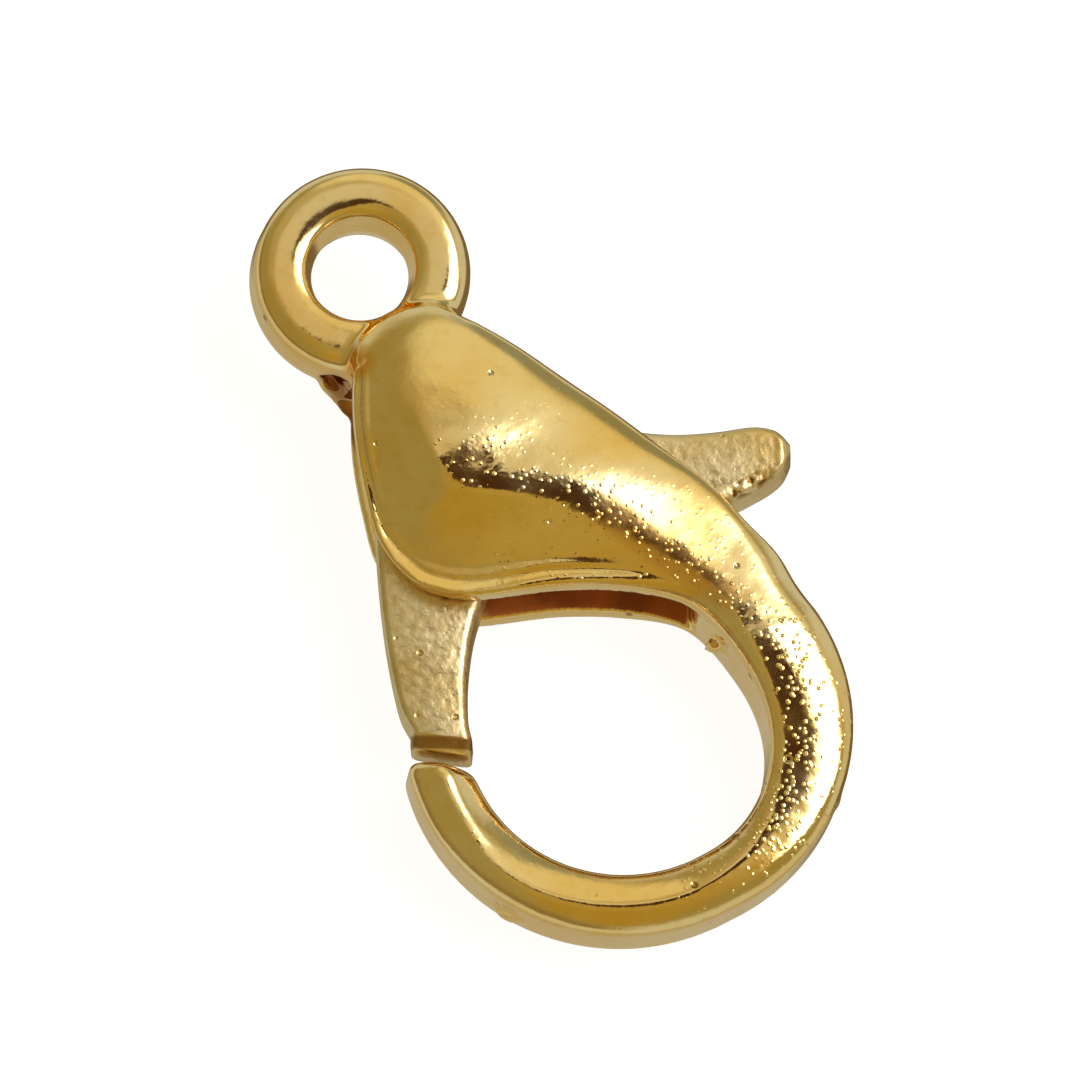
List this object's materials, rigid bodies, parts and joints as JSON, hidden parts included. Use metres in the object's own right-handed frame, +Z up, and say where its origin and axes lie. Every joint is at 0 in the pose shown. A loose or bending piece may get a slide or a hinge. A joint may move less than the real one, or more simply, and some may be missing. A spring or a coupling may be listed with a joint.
{
  "type": "lobster clasp",
  "caption": "Teardrop lobster clasp with an eye ring, a rounded hook and a sprung swinging gate worked by a thumb tab.",
  "frame": {"origin": "middle of the eye ring's bore, at half its thickness", "axes": "+Y from the hook to the eye ring, +X towards the thumb tab, +Z up from the surface that the clasp lies on; the clasp is tipped 4.7 degrees hook end down and 0.3 degrees sideways, as it lies on its domes"},
  "size_m": [0.008, 0.0139, 0.003],
  "materials": {
    "plated_casting": "bright gold plating over a zinc alloy casting",
    "plated_lever": "paler gold plating over a flat cast lever, slightly satin",
    "pin_steel": "plain drawn wire",
    "spring_steel": "thin spring strip"
  },
  "bodies": {
    "clasp": {"body": "plated_casting", "pivot_pin": "pin_steel", "leaf_spring": "spring_steel"},
    "gate": {"lever": "plated_lever"}
  },
  "joints": [
    {"name": "gate_hinge", "type": "hinge", "parent": "clasp", "child": "gate", "pos_m": [-0.0003, -0.00359, -0.00028], "axis": [0.0139, -0.0802, 0.9967], "range_deg": [0, 22], "stiffness_Nm_per_rad": 0.008, "springref_deg": -22.92, "deforming": ["leaf_spring"]}
  ]
}
